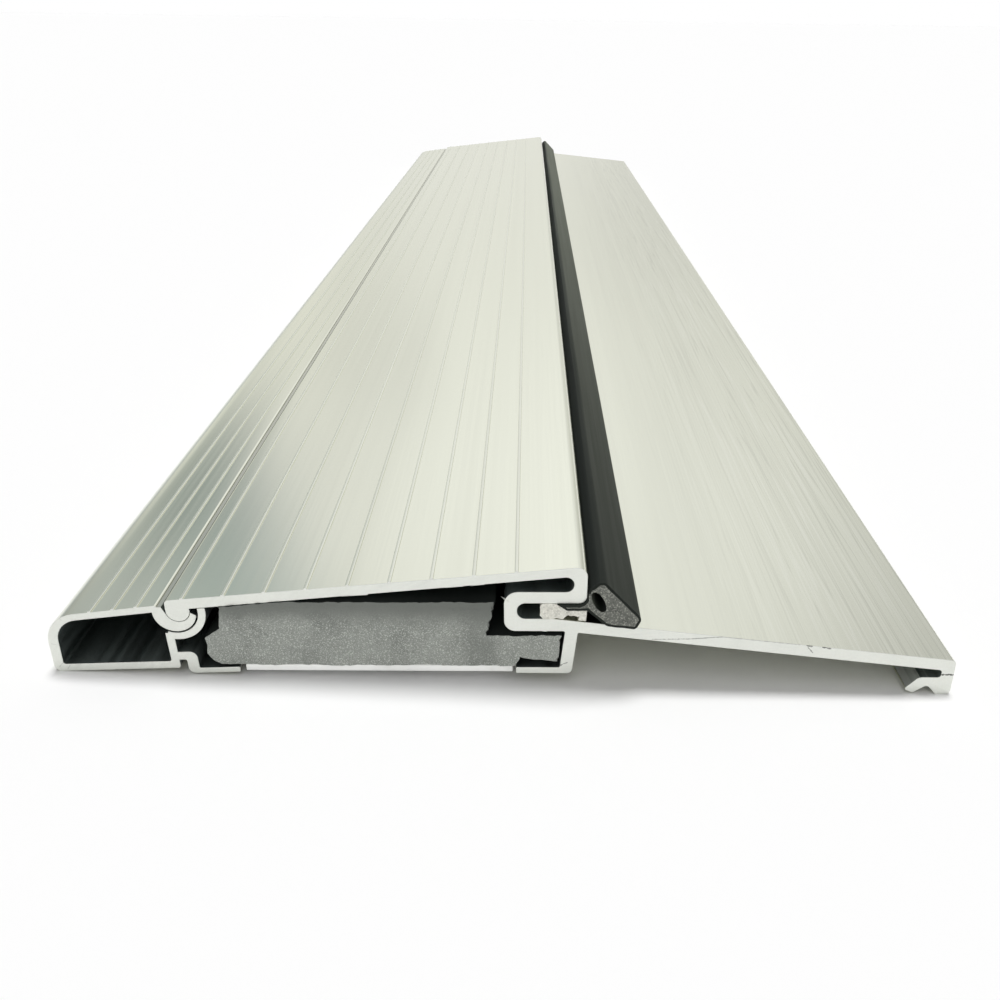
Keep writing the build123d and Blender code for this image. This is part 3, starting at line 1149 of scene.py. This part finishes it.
@dataclass
class Filling:
    """Foam block under the tread, torn at its sawn ends, and the white strip below it."""

    cell: float = 0.6 * MM
    torn_depth: float = 0.3 * MM
    torn_grain: float = 0.9 * MM
    broad_grain: float = 5.0 * MM
    torn_left: float = 0.3 * MM
    torn_right: float = 1.0 * MM
    torn_level: float = 0.08 * MM
    torn_reach: float = 1.2 * MM
    bite_grain: float = 1.3 * MM
    side_tilt: float = 0.5
    crease: float = 50.0
    strip_round: float = 0.12 * MM
    strip_segments: int = 2

    def build(self, finishes: Finishes) -> list[bpy.types.Object]:
        """Makes the block and the strip."""
        return [self.block(finishes), self.strip(finishes)]

    def block(self, finishes: Finishes) -> bpy.types.Object:
        """Makes the block, with torn ends and a dark skin on its long sides.

        Args:
            finishes: The materials.

        Returns:
            The finished block.
        """
        bm = merged_copy("core_block")
        low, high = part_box("core_block")
        for face in bm.faces:
            face.material_index = (BlockSkin.FOAM if is_end(face) else BlockSkin.SIDE).value
        slice_section(bm, low, high, self.cell)
        reach = self.torn_reach
        slice_across(bm, ALONG, [low.y + reach / 2, low.y + reach, high.y - reach, high.y - reach / 2])
        bm.normal_update()
        moves = {vert: self.tear(vert, low, high) for vert in bm.verts}
        for vert, move in moves.items():
            vert.co += move
        foams = [finishes.core, finishes.skin]
        return finished_piece(
            bm, "core_block_torn", foams, Body.SADDLE, "core_block", self.crease
        )

    def tear(self, vert: bmesh.types.BMVert, low: Vector, high: Vector) -> Vector:
        """Works out how the saw has torn a point of the block: rough on the ends, bitten along their edges.

        Args:
            vert: The point.
            low: The block's lowest corner.
            high: The block's highest corner.

        Returns:
            The point's move.
        """
        inset = min(vert.co.y - low.y, high.y - vert.co.y)
        share = max(0.0, 1.0 - inset / self.torn_reach)
        rough = noise.noise_vector(vert.co / self.torn_grain)
        broad = noise.noise(vert.co / self.broad_grain)
        move = Vector((0.0, (rough.y + broad) * self.torn_depth * share, 0.0))
        sides = [face.normal for face in vert.link_faces if not is_end(face)]
        if sides:
            outward = sum(sides, Vector()).normalized()
            bite = abs(noise.noise(vert.co / self.bite_grain)) * self.torn(outward)
            move -= Vector((outward.x, 0.0, outward.z)) * bite * share
        return move

    def torn(self, outward: Vector) -> float:
        """How deep the saw bites into a side of the block that looks outward."""
        beside = self.torn_right if outward.x > 0 else self.torn_left
        return self.torn_level if abs(outward.x) < self.side_tilt else beside

    def strip(self, finishes: Finishes) -> bpy.types.Object:
        """Makes the white strip, with broken edges.

        Args:
            finishes: The materials.

        Returns:
            The finished strip.
        """
        bm = merged_copy("base_strip")
        break_edges(bm, list(bm.edges), self.strip_round, self.strip_segments)
        return finished_piece(bm, "base_strip_cut", [finishes.strip], Body.SADDLE, "base_strip")


@dataclass(frozen=True)
class Panel:
    """What the metal mirrors in one direction: degrees from the length, positive to the right, and a tint."""

    turn: float
    tint: Colour


@dataclass(frozen=True)
class Spot:
    """Soft dark spot among the surroundings, in degrees."""

    turn: float
    rise: float
    reach: float
    depth: float

    def direction(self) -> Direction:
        """Unit direction of the spot's middle."""
        turn, rise = math.radians(self.turn), math.radians(self.rise)
        return math.sin(turn) * math.cos(rise), math.cos(turn) * math.cos(rise), math.sin(rise)


def grey(level: float) -> Colour:
    """Neutral tint of one level."""
    return level, level, level


@dataclass(frozen=True)
class Lamp:
    """Even, soft lamp that the metal doesn't mirror.

    Its level is its light on a surface that faces it, where 1 shows a colour as written, and its spread is in
    degrees.
    """

    name: str
    level: float
    shines_from: Direction
    spread: float

    def build(self) -> bpy.types.Object:
        """Adds the lamp to the scene.

        Returns:
            The lamp's object.
        """
        data = bpy.data.lights.new(self.name, "SUN")
        data.energy = self.level * math.pi
        data.angle = math.radians(self.spread)
        lamp = bpy.data.objects.new(self.name, data)
        lamp.rotation_euler = (-Vector(self.shines_from)).to_track_quat("-Z", "Y").to_euler()
        lamp.visible_glossy = False
        bpy.context.scene.collection.objects.link(lamp)
        return lamp


@dataclass
class Studio:
    """White ground, soft light, the surroundings that the metal mirrors, and the camera.

    Turns and rises are in degrees: a turn goes from the length to the right, and a rise from the horizon up.
    """

    camera_place: Place = (2.3566 * MM, -431.3377 * MM, 95.9324 * MM)
    camera_right: Direction = (0.99958, 0.025745, 0.013305)
    camera_up: Direction = (-0.023181, 0.434781, 0.900238)
    lens: float = 36.0
    sensor: float = 36.0
    clip_start: float = 0.01
    clip_end: float = 100.0
    ground_half: float = 40.0
    ground_tint: Colour = (0.97, 0.97, 0.97)
    ground_roughness: float = 0.9
    sky_level: float = 0.27
    key: Lamp = Lamp("Key", 0.64, (0.03, 0.18, 1.0), 20.0)
    front: Lamp = Lamp("Front", 0.14, (-0.1, -0.6, 1.0), 50.0)
    fill: Lamp = Lamp("Fill", 0.36, (-0.15, -1.0, 0.65), 60.0)
    low_rise: float = 10.0
    high_rise: float = 18.0
    low_share: float = 0.88
    low_tint: Colour = (1.0, 1.0, 0.965)
    low_turns: tuple[float, float, float, float] = (-42.0, -25.0, -17.0, -8.0)
    card_tint: Colour = (0.42, 0.45, 0.45)
    card_from: float = -0.16
    card_to: float = -0.075
    dusk: Colour = (0.82, 0.82, 0.78)
    dusk_low: float = 8.0
    dusk_high: float = 26.0
    panels: tuple[Panel, ...] = (
        Panel(-180, grey(0.96)),
        Panel(-150, grey(1.0)),
        Panel(-110, grey(0.82)),
        Panel(-85, grey(0.52)),
        Panel(-60, (0.41, 0.44, 0.45)),
        Panel(-40, (0.465, 0.485, 0.50)),
        Panel(-30, (0.50, 0.54, 0.545)),
        Panel(-25, (0.42, 0.48, 0.49)),
        Panel(-22, (0.59, 0.62, 0.64)),
        Panel(-19, grey(0.84)),
        Panel(-13, grey(0.93)),
        Panel(-6, grey(1.0)),
        Panel(3, grey(1.0)),
        Panel(12, grey(0.88)),
        Panel(18, grey(0.86)),
        Panel(23, grey(0.80)),
        Panel(29, grey(0.67)),
        Panel(45, grey(0.44)),
        Panel(70, grey(0.42)),
        Panel(110, grey(0.72)),
        Panel(150, grey(0.77)),
        Panel(180, grey(0.96)),
    )
    spots: tuple[Spot, ...] = (
        Spot(-22.5, 22.5, 3.5, 0.06),
        Spot(-12.5, 15.0, 5.0, 0.14),
        Spot(-26.0, 17.5, 7.0, 0.24),
        Spot(-17.0, 20.5, 3.0, 0.08),
        Spot(7.5, 8.5, 6.5, 0.10),
    )

    def build(self) -> None:
        """Sets up the whole studio."""
        self.camera()
        self.sky()
        ground = self.ground()
        self.key.build()
        self.front.build()
        self.spare(self.fill.build(), ground)

    def camera(self) -> None:
        """Sets the camera at the viewing angle of the end view."""
        data = bpy.data.cameras.new("Camera")
        data.lens = self.lens
        data.sensor_width = self.sensor
        data.clip_start = self.clip_start
        data.clip_end = self.clip_end
        right = Vector(self.camera_right).normalized()
        up = Vector(self.camera_up).normalized()
        turn = Matrix((right, up, right.cross(up))).transposed()
        camera = bpy.data.objects.new("Camera", data)
        camera.matrix_world = Matrix.Translation(self.camera_place) @ turn.to_4x4()
        bpy.context.scene.collection.objects.link(camera)
        bpy.context.scene.camera = camera

    def sky(self) -> None:
        """Sets white surroundings for the camera, panels for the metal, and plain light for matt surfaces."""
        world = bpy.data.worlds.new("Studio")
        world.use_nodes = True
        bpy.context.scene.world = world
        bench = NodeBench(world.node_tree)
        mirrored = bench.mirror_rays()
        seen = bench.math("MAXIMUM", bench.node("LightPath").outputs["Is Camera Ray"], mirrored)
        colour = bench.mix(mirrored, grey(1.0), self.mirrored(bench))
        plain = bench.node("Background", {"Color": grey(1.0), "Strength": self.sky_level})
        shown = bench.node("Background", {"Color": colour, "Strength": 1.0})
        surface = bench.node("MixShader", {0: seen, 1: plain.outputs[0], 2: shown.outputs[0]})
        bench.node("OutputWorld", {"Surface": surface.outputs[0]})

    def mirrored(self, bench: NodeBench) -> Socket:
        """Lays out what the metal mirrors: the panels, white low at the left, dusk lower down, and the spots.

        Args:
            bench: The world's bench.

        Returns:
            The tint in each direction.
        """
        direction = bench.node("TexCoord").outputs["Generated"]
        parts = bench.parts(direction)
        turn = bench.math("ARCTAN2", parts[0], parts[1])
        share = bench.math("ADD", bench.math("DIVIDE", turn, math.tau), AHEAD)
        around = bench.node("ValToRGB", {0: share})
        self.fill_ramp(around.color_ramp)
        rise = bench.math("ARCSINE", parts[2])
        low = bench.ramp(rise, math.radians(self.low_rise), math.radians(self.high_rise), self.low_share, 0.0)
        start, stop, fade_from, fade_to = (math.radians(limit) for limit in self.low_turns)
        faded = bench.ramp(turn, fade_from, fade_to, 1.0, 0.0)
        left = bench.math("MULTIPLY", bench.ramp(turn, start, stop), faded)
        colour = bench.mix(bench.math("MULTIPLY", low, left), around.outputs[0], self.low_tint)
        dusk = bench.ramp(rise, math.radians(self.dusk_low), math.radians(self.dusk_high), 1.0, 0.0)
        colour = bench.mix(dusk, colour, self.dusk, "MULTIPLY")
        shades: Value = 1.0
        for spot in self.spots:
            near = bench.measure("DOT_PRODUCT", direction, spot.direction())
            edge = math.cos(math.radians(spot.reach))
            shades = bench.math("MULTIPLY", shades, bench.ramp(near, edge, 1.0, 1.0, 1.0 - spot.depth))
        levels = bench.node("CombineXYZ", {0: shades, 1: shades, 2: shades}).outputs[0]
        return bench.mix(1.0, colour, levels, "MULTIPLY")

    def fill_ramp(self, ramp: bpy.types.ColorRamp) -> None:
        """Sets the panels on a colour ramp, all the way around.

        Args:
            ramp: The ramp, with its two first elements.
        """
        ramp.interpolation = "CARDINAL"
        for panel in self.panels[1:-1]:
            ramp.elements.new(AHEAD + panel.turn / FULL_TURN)
        for element, panel in zip(ramp.elements, self.panels):
            element.color = (*panel.tint, 1.0)

    def ground(self) -> bpy.types.Object:
        """Lays pale ground that keeps the shadow, with a grey card on it that only the metal sees.

        Returns:
            The ground.
        """
        bm = bmesh.new()
        bmesh.ops.create_grid(bm, x_segments=1, y_segments=1, size=self.ground_half)
        mesh = bpy.data.meshes.new("Ground")
        bm.to_mesh(mesh)
        bm.free()
        made, bench, shader = new_material("Pale ground")
        shader["Roughness"].default_value = self.ground_roughness
        shader["Specular IOR Level"].default_value = 0.0
        beside = bench.ramp(bench.parts(bench.place())[0], self.card_from, self.card_to, 1.0, 0.0)
        card = bench.math("MULTIPLY", bench.mirror_rays(), beside)
        bench.feed(shader["Base Color"], bench.mix(card, self.ground_tint, self.card_tint))
        mesh.materials.append(made)
        ground = bpy.data.objects.new("Ground", mesh)
        bpy.context.scene.collection.objects.link(ground)
        return ground

    def spare(self, lamp: bpy.types.Object, piece: bpy.types.Object) -> None:
        """Keeps a lamp off one piece, so that the shadow on it stays.

        Args:
            lamp: The lamp.
            piece: The piece that it doesn't light.
        """
        spared = bpy.data.collections.new(f"{lamp.name} spares")
        spared.objects.link(piece)
        lamp.light_linking.receiver_collection = spared
        spared.collection_objects[0].light_linking.link_state = "EXCLUDE"


SADDLE_BURRS = (
    Burr((1.35, 15.15), (0.25, 15.85), 0.95),
    Burr((-20.3, 15.8), (-24.4, 15.2), 0.45),
    Burr((-5.6, 17.7), (-8.4, 17.2), 0.4),
    Burr((-2.4, 18.1), (-4.6, 17.62), 0.35),
    Burr((6.3, 10.0), (7.5, 9.7), 0.3),
)


def main() -> None:
    """Builds the threshold and its studio, and reports each piece."""
    logging.basicConfig(level=logging.INFO, format="%(name)s %(message)s")
    bpy.context.scene.view_settings.view_transform = "Standard"
    noise.seed_set(NOISE_SEED)
    Studio().build()
    finishes = Finishes()
    walls = all_walls()
    pieces = [
        Extrusion("saddle_profile", Body.SADDLE, burrs=SADDLE_BURRS).build(finishes, walls),
        Extrusion("nose_profile", Body.NOSE).build(finishes, walls),
        *WeatherSeal().build(finishes),
        *Filling().build(finishes),
    ]
    for piece in pieces:
        LOG.info("%s: %d faces", piece.name, len(piece.data.polygons))


if __name__ == "__main__":
    main()
